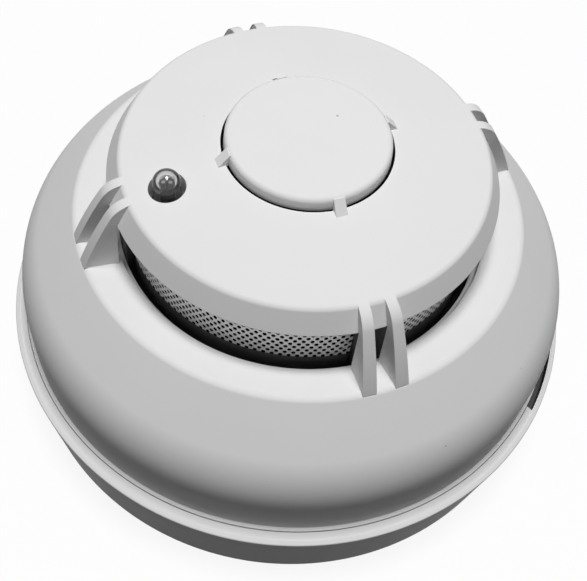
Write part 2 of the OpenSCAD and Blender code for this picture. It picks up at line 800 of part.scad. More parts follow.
// Round press button: a cup with a stem through the guide
module test_button() {
    side_t = 1.6;
    color("whitesmoke") difference() {
        rotate_extrude() polygon(concat(
            [[0, button_top]],
            arc([button_r - button_edge, button_top - button_edge], button_edge, 90, 0, 6),
            [[button_r, button_z], [button_r - side_t, button_z], [button_r - side_t, button_under],
             [stem_d / 2, button_under], [stem_d / 2, clip_z + clip_t], [groove_r, clip_z + clip_t],
             [groove_r, clip_z], [stem_d / 2, clip_z], [stem_d / 2, stem_z], [0, stem_z]]));
        translate([0, 0, stem_z - 1]) cylinder(r = pin_r + slip, h = pin_depth + 1, $fn = small_fn);
    }
}

// Pin that dips into the chamber when the button is pressed and scatters the light
module scatter_pin() {
    tip_z = optic_z + optic_d / 2 + run_gap;
    color("silver") translate([0, 0, tip_z])
        cylinder(r = pin_r, h = stem_z + pin_depth - slip - tip_z, $fn = small_fn);
}

// Split ring in the stem's groove, which stops the button from lifting out
module retaining_ring() {
    outer_r = stem_d / 2 + 1.2;
    mouth = 1.6 * groove_r;
    color("silver") translate([0, 0, clip_z + slip / 2]) difference() {
        cylinder(r = outer_r, h = clip_t - slip, $fn = small_fn);
        translate([0, 0, -1]) cylinder(r = groove_r + slip, h = clip_t + 2, $fn = small_fn);
        translate([0, -mouth / 2, -1]) cube([outer_r + 1, mouth, clip_t + 2]);
    }
}

// Wound spring between the well's floor and the button, with a ring of points for each step
spring_low = well_z + spring_wire / 2;
spring_high = button_under - spring_wire / 2;
spring_sides = 8;
spring_steps = 16 * spring_turns;
spring_points = [for (i = [0:spring_steps], k = [0:spring_sides - 1]) let (
    a = 360 * spring_turns * i / spring_steps,
    b = 360 * k / spring_sides,
    r = spring_d / 2 + spring_wire / 2 * cos(b),
    z = spring_low + (spring_high - spring_low) * i / spring_steps + spring_wire / 2 * sin(b))
    [r * cos(a), r * sin(a), z]];
function ring_point(i, k) = i * spring_sides + k % spring_sides;
spring_faces = concat(
    [[for (k = [0:spring_sides - 1]) ring_point(0, k)]],
    [[for (k = [spring_sides - 1:-1:0]) ring_point(spring_steps, k)]],
    [for (i = [0:spring_steps - 1], k = [0:spring_sides - 1])
        [ring_point(i, k), ring_point(i + 1, k), ring_point(i + 1, k + 1)]],
    [for (i = [0:spring_steps - 1], k = [0:spring_sides - 1])
        [ring_point(i, k), ring_point(i + 1, k + 1), ring_point(i, k + 1)]]);

// Return spring of the button
module return_spring() {
    color("silver") polyhedron(spring_points, spring_faces);
}

mounting_base();
terminal_inserts();
contact_springs();
clamp_washers();
terminal_screws();
rear_chassis();
contact_blades();
cover_gasket();
cover_screws();
circuit_board();
board_screws();
control_chip();
capacitors();
resistors();
amplifier_shield();
chamber_floor();
infrared_emitter();
photodiode();
chamber_lid();
insect_screen();
led_spacer();
indicator_led();
outer_cover();
test_button();
scatter_pin();
retaining_ring();
return_spring();
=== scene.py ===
import math

import bmesh
import bpy
from mathutils import Matrix


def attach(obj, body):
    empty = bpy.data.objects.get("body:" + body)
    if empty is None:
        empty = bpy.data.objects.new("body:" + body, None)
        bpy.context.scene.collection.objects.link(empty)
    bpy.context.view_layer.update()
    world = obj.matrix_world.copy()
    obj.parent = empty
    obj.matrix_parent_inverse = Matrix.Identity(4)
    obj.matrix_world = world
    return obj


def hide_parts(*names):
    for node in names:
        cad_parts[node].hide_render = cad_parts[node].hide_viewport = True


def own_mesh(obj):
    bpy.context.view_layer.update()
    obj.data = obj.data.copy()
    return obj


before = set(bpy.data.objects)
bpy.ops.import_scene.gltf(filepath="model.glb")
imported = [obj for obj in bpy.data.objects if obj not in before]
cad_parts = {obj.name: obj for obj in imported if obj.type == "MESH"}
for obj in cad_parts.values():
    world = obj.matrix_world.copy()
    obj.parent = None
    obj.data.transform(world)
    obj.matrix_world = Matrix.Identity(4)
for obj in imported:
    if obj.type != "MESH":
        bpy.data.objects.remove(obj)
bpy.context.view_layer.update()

# Mounting base: the white ABS moulding that is screwed to the ceiling, injection moulded in one piece.
# A low wall with a sloping rim stands on a floor with a cable hole and four screw slots.
# Three hooks inside the wall hold the head's lugs, and four bosses carry the terminals. Sizes are in mm.
MM = 0.001
WELD = 0.0005
ON_RING = 0.01
NEAR_SKIN = 0.5
SMOOTH_BELOW = 32
ROUND_STEPS = 360
BLOCK_STEPS = 10
QUARTERS = (45, 135, 225, 315)
FLOOR_TOP = 2.5
FLOOR_LINES = (22.5, 27.5, 37.5, 42.5)
FOOT_R = 55.6
FOOT_EASE = 0.4
INNER_R = 53.0
SEAT_Z = 13.0
RIM_R = 57.5
RIM_Z = 16.8
RIM_EASE = 0.25
RIM_IN_R = 55.2
RIM_IN_Z = 17.6
STEP_R = 56.6
STEP_HIGH = 17.19
STEP_LOW = 16.99
NOTCH_R = 56.4
NOTCH_EDGE_Z = 17.08
NOTCH_Z = 13.8
NOTCH_SPAN = (-5, 13)
CABLE_R = 10.0
SLOT_R = 2.25
SLOT_REACH = 3.75
SLOT_PLACES = ((30, 0), (35, 90), (30, 180), (35, 270))
SLOT_ROOM = 7.5
SLOT_ARC = 10
HOOK_ANGLES = (90, 210, 330)
HOOK_RADII = (48.5, 53.4)
HOOK_HEIGHTS = (7.5, 9.5)
HOOK_ARC = 16
STOP_RADII = (48.8, 53.8)
STOP_HEIGHTS = (5.0, 8.5)
STOP_TURN = 8.6
STOP_ARC = 2.5
TERMINAL_R = 36.0
BOSS_R = 4.5
BOSS_LOW = 2.1
BOSS_TOP = 6.0
BORE_R = 2.6
BORE_FLOOR = 3.0
BOSS_STEPS = 32

# Painted shade: near-black painted into the white plastic in the button's gap, the notch and the lamp's
# hole, where shade falls.
GAP_RADII = (14.6, 15.5)
GAP_HEIGHTS = (56.9, 60.5)
NOTCH_RADII = (55.1, 56.45)
NOTCH_HEIGHTS = (13.5, 16.8)
NOTCH_MARGIN = 0.1
NOTCH_SHADE = 0.9
LAMP_R = 26.1
LAMP_ANGLE = -131
LAMP_X = LAMP_R * math.cos(math.radians(LAMP_ANGLE))
LAMP_Y = LAMP_R * math.sin(math.radians(LAMP_ANGLE))
SOCKET_R = 3.3
SOCKET_HEIGHTS = (56, 59.1)
SOCKET_SHADE = 0.2
CLOUD_SIZE = 14
SPECK_SPACING = 7
SPECK_SIZE = 0.03


class Shade:
    """A socket of a material. Sums, differences, products and comparisons of these add Math nodes."""

    def __init__(self, tree, socket=None):
        self.tree = tree
        self.socket = socket

    def node(self, kind, settings, inputs, output=0):
        """Adds a node of any kind: its settings first, then the values and links of its sockets."""
        made = self.tree.nodes.new(kind)
        for name, value in settings.items():
            setattr(made, name, value)
        for name, value in inputs.items():
            if isinstance(value, Shade):
                self.tree.links.new(value.socket, made.inputs[name])
            else:
                made.inputs[name].default_value = value
        return Shade(self.tree, made.outputs[output])

    def maths(self, operation, first, second):
        return self.node("ShaderNodeMath", {"operation": operation}, {0: first, 1: second})

    def __add__(self, other):
        return self.maths("ADD", self, other)

    def __sub__(self, other):
        return self.maths("SUBTRACT", self, other)

    def __rsub__(self, other):
        return self.maths("SUBTRACT", other, self)

    def __mul__(self, other):
        return self.maths("MULTIPLY", self, other)

    def __gt__(self, other):
        return self.maths("GREATER_THAN", self, other)

    def __lt__(self, other):
        return self.maths("LESS_THAN", self, other)

    __radd__ = __add__
    __rmul__ = __mul__

    def places(self):
        """Points of the piece in the shared frame, in metres."""
        return self.node("ShaderNodeTexCoord", {}, {}, "Object")

    def axes(self):
        """The three coordinates of those points."""
        place = {"Vector": self.places()}
        return [self.node("ShaderNodeSeparateXYZ", {}, place, axis) for axis in range(3)]

    def noise(self, size_mm, detail=2.0, places=None):
        """Cloudy values from 0 to 1, with lumps of about the given size."""
        inputs = {"Vector": places or self.places(), "Scale": 1 / (size_mm * MM), "Detail": detail}
        return self.node("ShaderNodeTexNoise", {}, inputs)

    def mix(self, share, first, second):
        """A colour between two colours."""
        inputs = {0: share, 6: (*first, 1) if isinstance(first, tuple) else first,
                  7: (*second, 1) if isinstance(second, tuple) else second}
        return self.node("ShaderNodeMix", {"data_type": "RGBA"}, inputs, 2)

    def bump(self, height, depth_mm):
        inputs = {"Height": height, "Distance": depth_mm * MM, "Strength": 1.0}
        return self.node("ShaderNodeBump", {}, inputs)


def grey(level):
    return (level, level, level)


def finish(name, paint):
    """A material: paint gets a Shade to start from and returns the values of the surface's sockets."""
    material = bpy.data.materials.new(name)
    material.use_nodes = True
    surface = material.node_tree.nodes["Principled BSDF"]
    for socket, value in paint(Shade(material.node_tree)).items():
        if isinstance(value, Shade):
            material.node_tree.links.new(value.socket, surface.inputs[socket])
        else:
            surface.inputs[socket].default_value = value
    return material


def within(value, low, high):
    """1 where a length lies between two sizes in mm, 0 elsewhere."""
    return (value > low * MM) * (value < high * MM)


def recess_shade(s):
    """Share of painted shade in the gap round the button, in the lamp's hole and in the release notch."""
    x, y, z = s.axes()
    radius = s.maths("SQRT", x * x + y * y, 0.0)
    turn = s.maths("ARCTAN2", y, x)
    gap = within(radius, *GAP_RADII) * within(z, *GAP_HEIGHTS)
    first = math.radians(NOTCH_SPAN[0] - NOTCH_MARGIN)
    last = math.radians(NOTCH_SPAN[1] + NOTCH_MARGIN)
    notch = within(radius, *NOTCH_RADII) * within(z, *NOTCH_HEIGHTS) * (turn > first) * (turn < last)
    aside_x = x - LAMP_X * MM
    aside_y = y - LAMP_Y * MM
    socket = (aside_x * aside_x + aside_y * aside_y < (SOCKET_R * MM) ** 2) * within(z, *SOCKET_HEIGHTS)
    return gap + notch * NOTCH_SHADE + socket * SOCKET_SHADE


def satin_plastic(colour, shadow, grain_mm=0.35, grain_depth=0.006, specks=0.0):
    """Moulded plastic with a fine etched grain, faint cloudiness and, where asked, a few specks and painted
    shade in its recesses.
    """
    def paint(s):
        grain = s.noise(grain_mm, 3)
        body = s.mix(s.noise(CLOUD_SIZE, 3), colour, shadow)
        if specks:
            cells = {"Vector": s.places(), "Scale": 1 / (SPECK_SPACING * MM)}
            spot = s.node("ShaderNodeTexVoronoi", {}, cells, "Distance") < SPECK_SIZE
            lot = s.node("ShaderNodeTexVoronoi", {}, cells, "Color")
            chosen = s.node("ShaderNodeSeparateColor", {}, {"Color": lot}) < specks
            body = s.mix(spot * chosen, body, grey(0.40))
            # Painted shade: near-black in the button's gap, the release notch and the lamp's hole, where
            # shade falls.
            body = s.mix(recess_shade(s), body, grey(0.02))
        return {"Base Color": body, "Roughness": 0.40 + grain * 0.14,
                "Specular IOR Level": 0.02, "Normal": s.bump(grain, grain_depth)}
    return paint


def lathe(bm, outline, at=(0, 0), steps=ROUND_STEPS, closed=True):
    """Turns an outline of (radius, height) points in mm round an upright axis."""
    verts = [bm.verts.new(((at[0] + r) * MM, at[1] * MM, z * MM)) for r, z in outline]
    following = verts[1:] + verts[:1] if closed else verts[1:]
    edges = [bm.edges.new(pair) for pair in zip(verts, following)]
    bmesh.ops.spin(bm, geom=verts + edges, cent=(at[0] * MM, at[1] * MM, 0), axis=(0, 0, 1),
                   angle=math.tau, steps=steps, use_merge=True)


def upright_turn(degrees):
    return Matrix.Rotation(math.radians(degrees), 3, "Z")


def radius_of(place):
    return math.hypot(place.x, place.y) / MM


def degrees_of(place):
    return math.degrees(math.atan2(place.y, place.x))


def beside(spot, r, degrees, reach, spread):
    """Tells whether a spot is within a reach in mm and a spread in degrees of a place on a ring."""
    turned = (degrees_of(spot) - degrees + 180) % 360 - 180
    return abs(turned) < spread and abs(radius_of(spot) - r) < reach


def ease(bm, edges, width, segments):
    """Rounds edges off."""
    bmesh.ops.bevel(bm, geom=edges, offset=width * MM, segments=segments, profile=0.5,
                    affect="EDGES", material=-1)


def round_ring(bm, r, z, width, segments=3):
    """Rounds the edge that one corner of the outline left round the axis."""
    ring = {v for v in bm.verts
            if abs(radius_of(v.co) - r) < ON_RING and abs(v.co.z / MM - z) < ON_RING}
    ease(bm, [e for e in bm.edges if e.verts[0] in ring and e.verts[1] in ring], width, segments)


def ring_block(bm, radii, heights, middle, span):
    """A block that follows the ring between two radii and two heights."""
    (r_in, r_out), (low, high) = radii, heights
    corners = ((r_in, low), (r_out, low), (r_out, high), (r_in, high))
    face = bm.faces.new([bm.verts.new((r * MM, 0, z * MM)) for r, z in corners])
    bmesh.ops.rotate(bm, verts=face.verts, matrix=upright_turn(middle - span / 2))
    bmesh.ops.spin(bm, geom=[face, *face.edges, *face.verts], cent=(0, 0, 0), axis=(0, 0, 1),
                   angle=math.radians(span), steps=BLOCK_STEPS)


def hole_outline(bm, radius, reach, place, degrees, segments):
    """The edges of a round hole, or of a slot where reach is the way from its middle to its round ends."""
    verts = bmesh.ops.create_circle(bm, radius=radius * MM, segments=segments)["verts"]
    for vert in verts:
        vert.co.x += math.copysign(reach * MM, vert.co.x)
    bmesh.ops.translate(bm, verts=verts, vec=(place * MM, 0, 0))
    bmesh.ops.rotate(bm, verts=verts, matrix=upright_turn(degrees))
    return list({edge for vert in verts for edge in vert.link_edges})


def pierce(bm, near, radius, reach, place, degrees, skins):
    """Cuts a hole through a wall: the faces near it give way to a rim round its outline, on both skins."""
    bmesh.ops.delete(bm, geom=[f for f in bm.faces if near(f.calc_center_median())], context="FACES")
    open_edges = [e for e in bm.edges if e.is_boundary]
    front = hole_outline(bm, radius, reach, place, degrees, len(open_edges) // 2)
    wall = bmesh.ops.extrude_edge_only(bm, edges=front)["geom"]
    back_verts = {v for v in wall if isinstance(v, bmesh.types.BMVert)}
    back = [e for e in wall if isinstance(e, bmesh.types.BMEdge) and back_verts.issuperset(e.verts)]
    for skin, ring in zip(skins, (front, back)):
        for vert in {v for e in ring for v in e.verts}:
            vert.co.z = skin(radius_of(vert.co)) * MM
        rim = [e for e in open_edges
               if abs(e.verts[0].co.z / MM - skin(radius_of(e.verts[0].co))) < NEAR_SKIN]
        bmesh.ops.bridge_loops(bm, edges=rim + ring)
    return front


def piece(bm, name, body, material, *nodes):
    """Makes a finished mesh an object that rides on a body and stands for its CAD nodes."""
    bmesh.ops.remove_doubles(bm, verts=bm.verts, dist=WELD * MM)
    bmesh.ops.recalc_face_normals(bm, faces=bm.faces)
    mesh = bpy.data.meshes.new(name)
    bm.to_mesh(mesh)
    bm.free()
    mesh.shade_smooth()
    mesh.set_sharp_from_angle(angle=math.radians(SMOOTH_BELOW))
    mesh.materials.append(material)
    made = bpy.data.objects.new(name, mesh)
    bpy.context.scene.collection.objects.link(made)
    made.modifiers.new("even shading", "WEIGHTED_NORMAL").keep_sharp = True
    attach(made, body)
    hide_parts(*nodes)
    return made


white_plastic = finish("satin white plastic", satin_plastic(grey(0.80), grey(0.77), specks=0.5))

base = bmesh.new()
rim_line = [(RIM_R, RIM_Z), (STEP_R, STEP_HIGH), (STEP_R, STEP_LOW), (NOTCH_R, NOTCH_EDGE_Z),
            (RIM_IN_R, RIM_IN_Z)]
wall_inside = [(RIM_IN_R, NOTCH_Z), (RIM_IN_R, SEAT_Z), (INNER_R, SEAT_Z), (INNER_R, FLOOR_TOP)]
floor_line = [(r, FLOOR_TOP) for r in reversed(FLOOR_LINES)]
back_line = [(r, 0) for r in FLOOR_LINES]
cable_hole = [(CABLE_R, FLOOR_TOP), (CABLE_R, 0)]
lathe(base, [(FOOT_R, 0), *rim_line, *wall_inside, *floor_line, *cable_hole, *back_line])
base.normal_update()


def in_notch(place):
    return NOTCH_SPAN[0] < degrees_of(place) < NOTCH_SPAN[1]


# The notch is the rim's inner slope, sunk over its span.
ledge = [f for f in base.faces if in_notch(f.calc_center_median()) and
         RIM_IN_R < radius_of(f.calc_center_median()) < NOTCH_R and f.calc_center_median().z > RIM_Z * MM]
sunk = bmesh.ops.extrude_face_region(base, geom=ledge)["geom"]
bmesh.ops.delete(base, geom=ledge, context="FACES")
for vert in (v for v in sunk if isinstance(v, bmesh.types.BMVert)):
    vert.co.z = NOTCH_Z * MM
bmesh.ops.remove_doubles(base, verts=base.verts, dist=WELD * MM)
spare = [f for f in base.faces if in_notch(f.calc_center_median()) and
         all(abs(radius_of(v.co) - RIM_IN_R) < ON_RING for v in f.verts) and
         f.calc_center_median().z > NOTCH_Z * MM]
bmesh.ops.delete(base, geom=spare, context="FACES")
round_ring(base, RIM_R, RIM_Z, RIM_EASE)
round_ring(base, FOOT_R, 0, FOOT_EASE)

for slot_r, slot_angle in SLOT_PLACES:
    def near_slot(spot):
        return beside(spot, slot_r, slot_angle, SLOT_ROOM, SLOT_ARC) and spot.z < (FLOOR_TOP + ON_RING) * MM

    pierce(base, near_slot, SLOT_R, SLOT_REACH, slot_r, slot_angle, (lambda r: 0, lambda r: FLOOR_TOP))
for angle in HOOK_ANGLES:
    ring_block(base, HOOK_RADII, HOOK_HEIGHTS, angle, HOOK_ARC)
    ring_block(base, STOP_RADII, STOP_HEIGHTS, angle - STOP_TURN, STOP_ARC)
boss_line = [(0, BORE_FLOOR), (BORE_R, BORE_FLOOR), (BORE_R, BOSS_TOP), (BOSS_R, BOSS_TOP),
             (BOSS_R, BOSS_LOW), (0, BOSS_LOW)]
for angle in QUARTERS:
    boss = (TERMINAL_R * math.cos(math.radians(angle)), TERMINAL_R * math.sin(math.radians(angle)))
    lathe(base, boss_line, boss, BOSS_STEPS, closed=False)
base_moulding = piece(base, "base_moulding", "base", white_plastic, "mounting_base")

# Terminals of the base: brass bushes and contact springs, with square washers and slotted screws
# of zinc-plated steel that clamp the wires. They stay as the frame has them.
STREAK_SIZE = 0.25
STREAK_STRETCH = (1, 0.08, 1)


def rolled_metal(colour, dull, roughness):
    """Metal with fine rolling streaks and a slightly uneven dullness."""
    def paint(s):
        stretched = s.node("ShaderNodeMapping", {}, {"Vector": s.places(), "Scale": STREAK_STRETCH})
        streaks = s.noise(STREAK_SIZE, 2.0, stretched)
        stain = s.noise(6, 3)
        return {"Base Color": s.mix(stain, colour, dull), "Metallic": 1.0,
                "Roughness": roughness + streaks * 0.16, "Normal": s.bump(streaks, 0.004)}
    return paint


brass = finish("rolled brass", rolled_metal((0.78, 0.62, 0.32), (0.66, 0.50, 0.25), 0.24))
plated_steel = finish("zinc-plated steel", rolled_metal((0.66, 0.66, 0.67), (0.55, 0.55, 0.57), 0.26))


def dress(material, *names):
    """Gives CAD nodes that keep their shape a finish."""
    for name in names:
        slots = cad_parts[name].data.materials
        slots.clear()
        slots.append(material)


dress(brass, "terminal_inserts", "contact_springs")
dress(plated_steel, "clamp_washers", "terminal_screws")

# Back of the head: a pale grey moulded plate with the lugs of the twist lock, four brass blades that
# meet the base's springs, a rubber seal round its edge and four steel screws up into the cover.
grey_plastic = finish("satin grey plastic", satin_plastic((0.72, 0.72, 0.71), (0.68, 0.68, 0.67), 0.5, 0.01))


def matt_rubber(s):
    dust = s.noise(1.5, 4)
    return {"Base Color": s.mix(dust, grey(0.035), (0.07, 0.07, 0.068)),
            "Roughness": 0.7 + dust * 0.2, "Normal": s.bump(dust, 0.02)}


seal_rubber = finish("matt black rubber", matt_rubber)
dress(grey_plastic, "rear_chassis")
dress(brass, "contact_blades")
dress(seal_rubber, "cover_gasket")
dress(plated_steel, "cover_screws")

# Electronics: a green laminate board on three posts with its screws, a chip in black resin, chip
# resistors, two drawn aluminium capacitors and a tinned screening can over the amplifier.
BOARD_TOP = 27.6
LEGS_TOP = BOARD_TOP + 0.61
TRACK_SPACING = 9


def solder_mask(s):
    """Green lacquer over copper tracks that show through as a lighter green."""
    layout = {"Vector": s.places(), "Scale": 1 / (TRACK_SPACING * MM), "Mortar Size": 0.03}
    tracks = s.node("ShaderNodeTexBrick", {"offset": 0.37}, layout, "Fac")
    cloud = s.noise(8)
    lacquer = s.mix(cloud, (0.012, 0.10, 0.035), (0.016, 0.13, 0.045))
    return {"Base Color": s.mix(tracks, lacquer, (0.03, 0.22, 0.08)), "Roughness": 0.28 + cloud * 0.1,
            "Normal": s.bump(tracks, 0.03)}


def chip_resin(s):
    """Black moulding resin with tinned legs beside it, which lie lower than its top."""
    _, _, height = s.axes()
    tin = height < LEGS_TOP * MM
    grain = s.noise(0.3, 3)
    return {"Base Color": s.mix(tin, (0.025, 0.025, 0.027), (0.60, 0.60, 0.61)), "Metallic": tin * 0.9,
            "Roughness": 0.45 + grain * 0.2, "Normal": s.bump(grain, 0.008)}


def resistor_glaze(s):
    grain = s.noise(0.5, 3)
    return {"Base Color": s.mix(grain, (0.02, 0.02, 0.022), (0.06, 0.06, 0.062)),
            "Roughness": 0.25 + grain * 0.2, "Normal": s.bump(grain, 0.006)}


board_laminate = finish("green solder mask", solder_mask)
aluminium = finish("drawn aluminium", rolled_metal((0.80, 0.80, 0.81), (0.70, 0.70, 0.72), 0.22))
tin_plate = finish("tin plate", rolled_metal((0.75, 0.75, 0.76), (0.64, 0.64, 0.66), 0.28))
dress(board_laminate, "circuit_board")
dress(plated_steel, "board_screws")
dress(finish("black chip resin", chip_resin), "control_chip")
dress(finish("resistor glaze", resistor_glaze), "resistors")
dress(aluminium, "capacitors")
dress(tin_plate, "amplifier_shield")

# Detection chamber: matt black floor and lid with a trap of slanted vanes, which keeps daylight out,
# an infrared lamp and a photodiode of tinted resin in their holders, and the tube under the lamp.
BLACK = (0.018, 0.018, 0.019)
BLACK_WORN = (0.026, 0.026, 0.027)
black_plastic = finish("matt black plastic", satin_plastic(BLACK, BLACK_WORN, 0.4, 0.012))


def tinted_resin(colour):
    def paint(s):
        flow = s.noise(1.2, 2)
        return {"Base Color": s.mix(flow, colour, tuple(1.5 * c for c in colour)),
                "Roughness": 0.08 + flow * 0.08, "Coat Weight": 0.5}
    return paint


dress(black_plastic, "chamber_floor", "chamber_lid", "led_spacer")
dress(finish("blue tinted resin", tinted_resin((0.012, 0.012, 0.05))), "infrared_emitter")
dress(finish("black tinted resin", tinted_resin((0.012, 0.01, 0.012))), "photodiode")

# Insect screen: a strip of thin etched steel with staggered openings, bent to a ring. It stands on the
# chamber's floor and reaches up under the cap. Its foot has no openings and is painted dark grey as painted
# shade below the ring's lip.
# Four posts close it behind the fins, painted near-black with the screen there as painted shade between the
# fins.
SCREEN_R = 33.0
SCREEN_LOW = 37.5
SCREEN_HIGH = 54.6
SCREEN_MIDDLE = (SCREEN_LOW + SCREEN_HIGH) / 2
SCREEN_T = 0.1
SCREEN_COLUMNS = 140
SCREEN_ROWS = 9
SEAM = 0.001
BAR_W = 0.36
CORNER = 0.24
SEALED_BELOW = 43.0
POST_HALF = 4.5
POST_MARGIN = 0.2
POST_RADII = (SCREEN_R - SCREEN_T / 2, 34.4)
POST_HEIGHTS = (SCREEN_LOW, 54.1)


def etched_steel_with_painted_shade(s):
    """Bright steel, with painted shade: dark grey on the foot below the ring's lip and near-black on the
    posts behind the fins.
    """
    x, y, z = s.axes()
    turn = s.maths("ARCTAN2", y, x) + math.pi
    from_post = s.maths("ABSOLUTE", s.maths("MODULO", turn, math.pi / 2) - math.pi / 4, 0.0)
    # Painted shade: dark grey on the foot below the ring's lip, near-black on the posts and the screen
    # between the fins.
    foot = z < SEALED_BELOW * MM
    post_shade = from_post < math.radians(POST_HALF + POST_MARGIN)
    pits = s.noise(0.12, 2)
    bright = s.mix(s.noise(5, 3), grey(0.96), grey(0.85))
    steel_with_painted_shade = s.mix(post_shade, s.mix(foot, bright, grey(0.11)), grey(0.015))
    return {"Base Color": steel_with_painted_shade, "Metallic": 0.4 - s.maths("MAXIMUM", foot, post_shade) * 0.4,
            "Roughness": 0.42 + pits * 0.15, "Normal": s.bump(pits, 0.004)}


screen = bmesh.new()
bmesh.ops.create_grid(screen, x_segments=SCREEN_COLUMNS, y_segments=SCREEN_ROWS, size=0.5)
strip_size = (math.tau * SCREEN_R * MM, (SCREEN_HIGH - SCREEN_LOW) * MM, 1)
bmesh.ops.scale(screen, verts=screen.verts, vec=strip_size)
inner_lines = [e for e in screen.edges if not e.is_boundary]
bmesh.ops.poke(screen, faces=screen.faces)
bmesh.ops.dissolve_edges(screen, edges=inner_lines, use_verts=False)
windows = [f for f in screen.faces if len(f.verts) == 4]
bmesh.ops.inset_individual(screen, faces=windows, thickness=BAR_W / 2 * MM, use_even_offset=True)
corners = list({v for f in windows for v in f.verts})
bmesh.ops.bevel(screen, geom=corners, offset=CORNER * MM, segments=1, profile=0.5,
                affect="VERTICES", material=-1)


def sealed(spot):
    """Tells whether a place on the flat strip is in its foot or behind a pair of fins, where it keeps no
    openings.
    """
    turn = math.degrees(spot.x / (SCREEN_R * MM))
    return spot.y / MM + SCREEN_MIDDLE < SEALED_BELOW or abs((turn + 180) % 90 - 45) < POST_HALF


openings = [f for f in screen.faces if len(f.verts) == 8 and not sealed(f.calc_center_median())]
bmesh.ops.delete(screen, geom=openings, context="FACES")
for vert in screen.verts:
    turn = vert.co.x / (SCREEN_R * MM)
    vert.co = (SCREEN_R * MM * math.cos(turn), SCREEN_R * MM * math.sin(turn),
               vert.co.y + SCREEN_MIDDLE * MM)
bmesh.ops.remove_doubles(screen, verts=screen.verts, dist=SEAM * MM)
bmesh.ops.recalc_face_normals(screen, faces=screen.faces)
bmesh.ops.solidify(screen, geom=screen.faces[:], thickness=SCREEN_T * MM)
for angle in QUARTERS:
    ring_block(screen, POST_RADII, POST_HEIGHTS, angle, 2 * POST_HALF)
screen_mesh = piece(screen, "screen_mesh", "head", finish("etched steel", etched_steel_with_painted_shade), "insect_screen")

# Outer cover: the white ABS shell of the head, moulded in one piece. A skirt turns into a dome with a sharp
# shoulder, a ring slopes in to a groove and lip at the smoke inlet, and four pairs of fins carry the cap.
# The cap has a well for the button, four small ribs round it and a hole with a collar for the lamp.
LIP_R = 55.1
LIP_LOW = 13.3
LIP_TOP = 17.8
SKIRT_R = 54.4
SKIRT_IN_R = 52.4
DOME_CENTRE = (39.1, 26.4)
DOME_R = 15.3
DOME_IN_R = 13.3
DOME_ANGLE = 44.02
SHOULDER = (42.2, 45.2)
CAP_R = 33.2
CAP_Z = 58.5
CAP_LOW = (35.7, 54.15)
CAP_T = 2.0
FACE_TOP = 60.75
BUTTON_HOLE_R = 15.4
WELL_R = 17.0
WELL_FLOOR = 56.95
WELL_LOW = 54.95
STEM_HOLE_R = 2.48
LAMP_STEPS = 48
LAMP_HOLE_R = 3.25
LAMP_HOLE_EASE = 0.15
PATCH_REACH = 4.5
PATCH_LINES = [LAMP_R - PATCH_REACH + PATCH_REACH / 3 * i for i in range(7)]
PATCH_HALF = 10
PATCH_LOW = 56
COLLAR_RADII = (3.27, 4.2)
COLLAR_HEIGHTS = (54.7, 58.2)
FIN_T = 2.0
FIN_DRAFT = 0.022
FIN_SPREAD = 4
FIN_EASE = 0.2
RIB_W = 2.0
RIB_DRAFT = 0.03
RIB_EASE = 0.04
EASED_ABOVE = 40


def face_z(r):
    """Height of the cap's gently coned face."""
    return CAP_Z + (FACE_TOP - CAP_Z) * (CAP_R - r) / (CAP_R - BUTTON_HOLE_R)


def arc(centre, radius, first, last, steps):
    """Points of an arc in radius and height, from one angle in degrees to another."""
    angles = [math.radians(first + (last - first) * i / steps) for i in range(steps + 1)]
    return [(centre[0] + radius * math.cos(a), centre[1] + radius * math.sin(a)) for a in angles]


def slab(bm, outline, thickness, draft, degrees, easing):
    """An outline of (radius, height) points as an upright slab with eased edges, thicker at its foot."""
    top = max(z for _, z in outline)
    sides = [(r, thickness / 2 + draft * (top - z), z) for r, z in outline]
    face = bm.faces.new([bm.verts.new((r * MM, -half * MM, z * MM)) for r, half, z in sides])
    made = bmesh.ops.extrude_face_region(bm, geom=[face])["geom"]
    far_side = [v for v in made if isinstance(v, bmesh.types.BMVert)]
    bmesh.ops.scale(bm, verts=far_side, vec=(1, -1, 1))
    whole = list(face.verts) + far_side
    bmesh.ops.rotate(bm, verts=whole, matrix=upright_turn(degrees))
    faces = {f for v in whole for f in v.link_faces}
    bmesh.ops.recalc_face_normals(bm, faces=list(faces))
    sharp = {e for f in faces for e in f.edges if e.calc_face_angle(0) > math.radians(EASED_ABOVE)}
    ease(bm, list(sharp), easing, 2)


cover = bmesh.new()
dome_outside = arc(DOME_CENTRE, DOME_R, 0, DOME_ANGLE, 28)
dome_inside = arc(DOME_CENTRE, DOME_IN_R, DOME_ANGLE, 0, 10)
ring_round = arc((39.40, 38.67), 5.9, 100.65, 132, 8)
ring_groove = [(35.44, 40.0), (35.0, 40.0), (35.0, 41.1)]
ring_lip = [(34.5, 41.1), (34.5, 35.5), (36.3, 35.5)]
ring_under = [(36.3, 40.66), (41.95, 42.59)]
lathe(cover, [(LIP_R, LIP_LOW), (LIP_R, LIP_TOP), (SKIRT_R, LIP_TOP), *dome_outside, SHOULDER, *ring_round,
              *ring_groove, *ring_lip, *ring_under, *dome_inside, (SKIRT_IN_R, LIP_LOW)])
round_ring(cover, *SHOULDER, width=0.85, segments=6)
round_ring(cover, LIP_R, LIP_TOP, width=0.12, segments=2)

